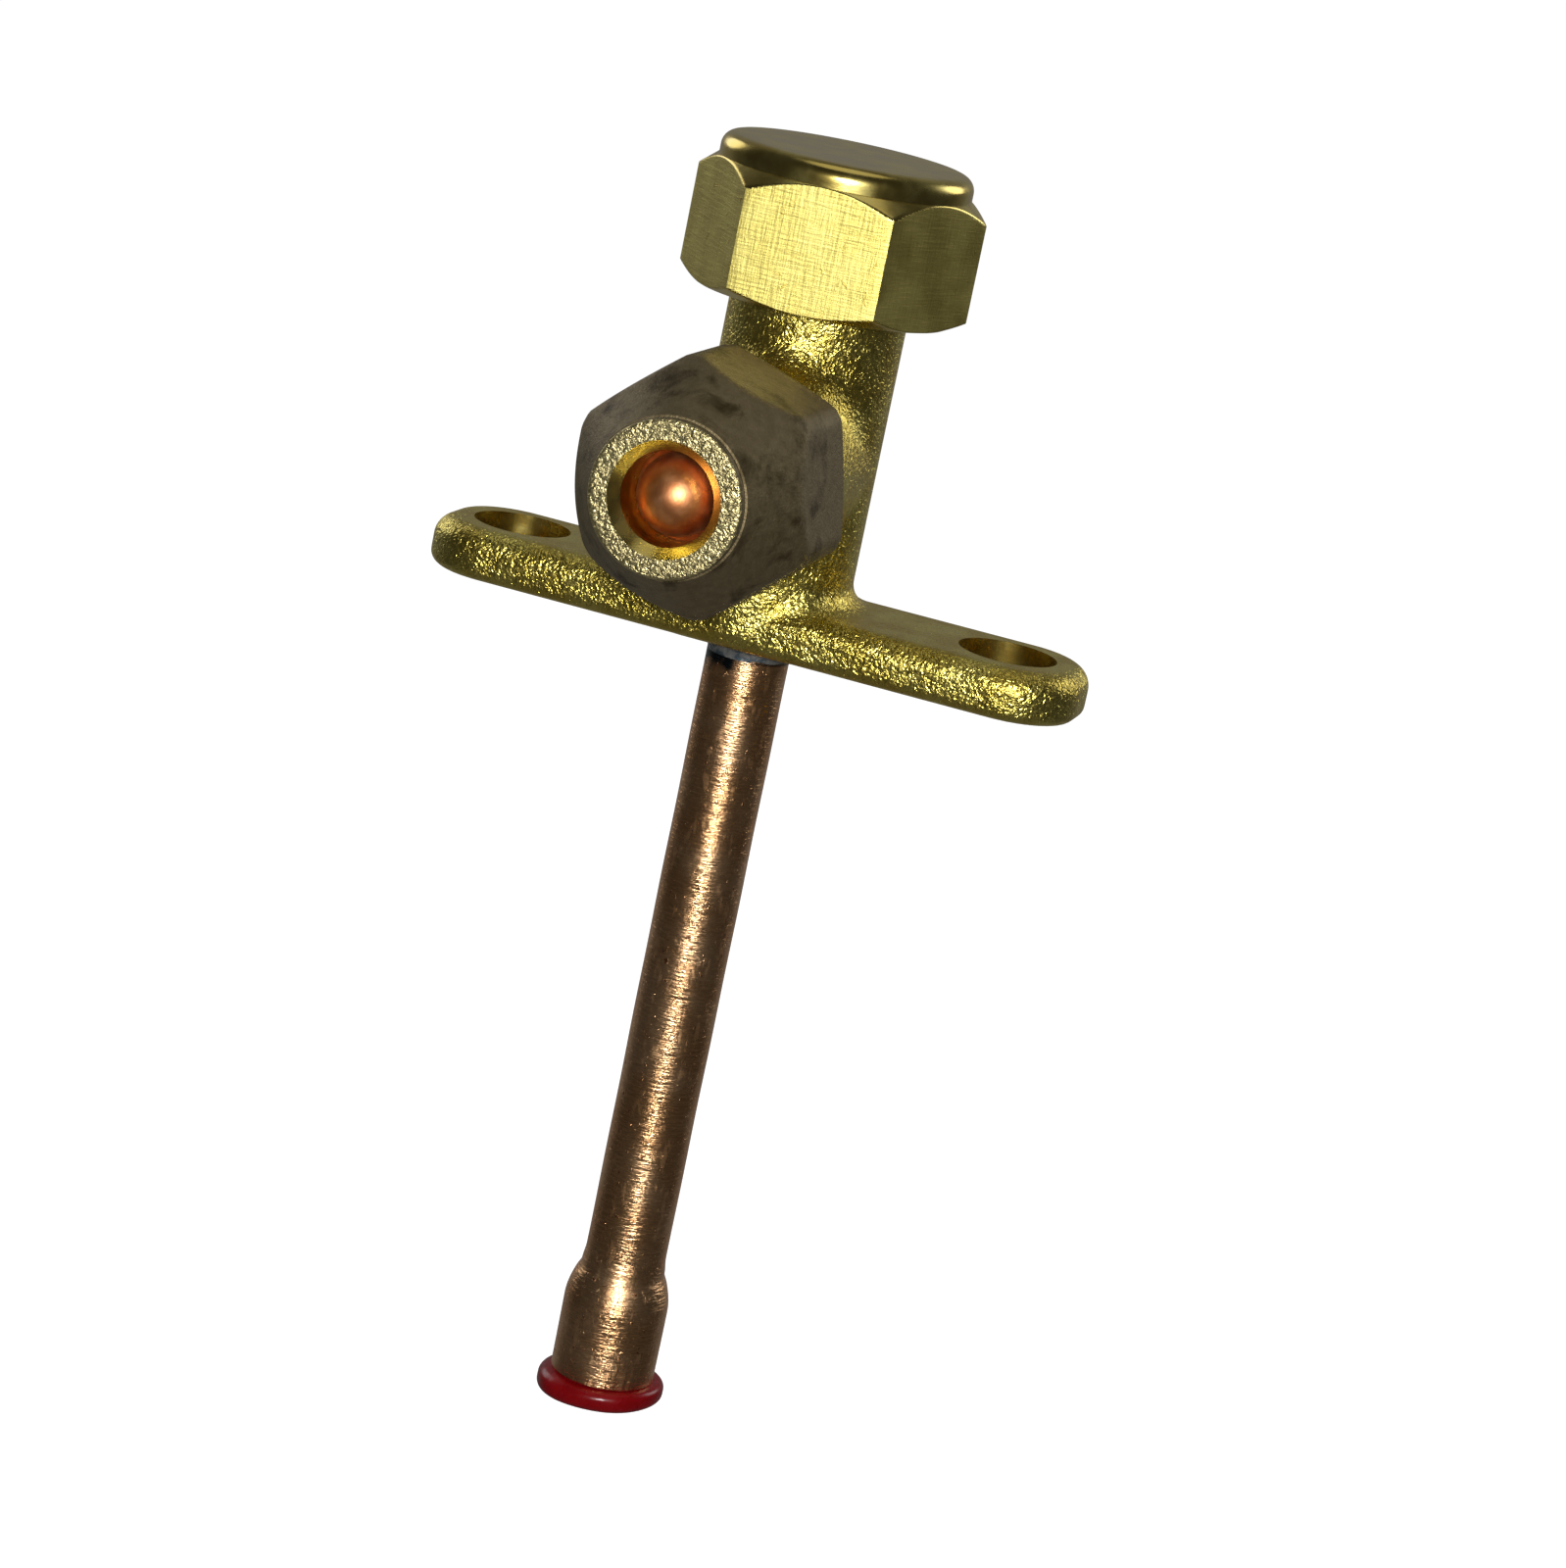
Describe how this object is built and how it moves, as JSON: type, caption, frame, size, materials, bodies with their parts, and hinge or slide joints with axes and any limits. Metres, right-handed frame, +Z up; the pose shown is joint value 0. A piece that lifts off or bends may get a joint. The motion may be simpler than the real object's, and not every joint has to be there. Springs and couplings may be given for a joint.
{
  "type": "air conditioner service valve",
  "caption": "Forged brass two-way stop valve with a flange, a capped hex-key stem, a flare port with nut and bonnet, and a brazed copper stub with a dust plug.",
  "frame": {"origin": "centre of the flange's underside, on the stem axis, midway between the two bolt holes", "axes": "+Z up the stem to the cap, X along the flange through both bolt holes, -Y along the flare port"},
  "size_m": [0.0516, 0.0394, 0.0992],
  "materials": {
    "forged_brass": "sand-blasted forging, fine sparkling grain",
    "turned_brass": "turned",
    "milled_brass": "milled flats with fine crossed scratches",
    "dull_brass": "dull brown forged skin",
    "soft_copper": "annealed copper, satin",
    "drawn_copper": "drawn copper, scuffed shine",
    "braze": "dull silver solder with flux stain",
    "red_plastic": "soft translucent gloss",
    "o_ring_rubber": "matte",
    "gasket_white": "matte",
    "spring_steel": "phosphated spring steel"
  },
  "bodies": {
    "body": {"valve_body": "forged_brass", "retaining_ring": "spring_steel", "copper_tube": "drawn_copper", "braze_ring": "braze"},
    "o_ring": {"stem_o_ring": "o_ring_rubber"},
    "stem": {"stem": "turned_brass"},
    "gasket": {"cap_gasket": "gasket_white"},
    "cap": {"stem_cap": "milled_brass"},
    "bonnet": {"copper_bonnet": "soft_copper"},
    "nut": {"flare_nut": "dull_brass"},
    "plug": {"dust_plug": "red_plastic"}
  },
  "joints": [
    {"name": "cap_lift", "type": "slide", "parent": "body", "child": "gasket", "axis": [0, 0, 1], "range_m": [0, 0.01]},
    {"name": "cap_turn", "type": "hinge", "parent": "gasket", "child": "cap", "pos_m": [0, 0, 0.0315], "axis": [0, 0, 1], "range_deg": [0, 2880]},
    {"name": "stem_lift", "type": "slide", "parent": "body", "child": "o_ring", "axis": [0, 0, 1], "range_m": [0, 0.003]},
    {"name": "stem_turn", "type": "hinge", "parent": "o_ring", "child": "stem", "pos_m": [0, 0, 0.0245], "axis": [0, 0, 1], "range_deg": [0, 1080]},
    {"name": "bonnet_slide", "type": "slide", "parent": "body", "child": "bonnet", "axis": [0, -1, 0], "range_m": [0, 0.01143]},
    {"name": "nut_turn", "type": "hinge", "parent": "bonnet", "child": "nut", "pos_m": [0, -0.02, 0.0144], "axis": [0, -1, 0], "range_deg": [0, 3240]},
    {"name": "plug_pull", "type": "slide", "parent": "body", "child": "plug", "axis": [0, 0, -1], "range_m": [0, 0.012]}
  ],
  "couplings": [
    {"joint": "cap_turn", "follows": "cap_lift", "rad_per_m": 5026.5},
    {"joint": "stem_turn", "follows": "stem_lift", "rad_per_m": 6283.2},
    {"joint": "nut_turn", "follows": "bonnet_slide", "rad_per_m": 4947.4}
  ]
}
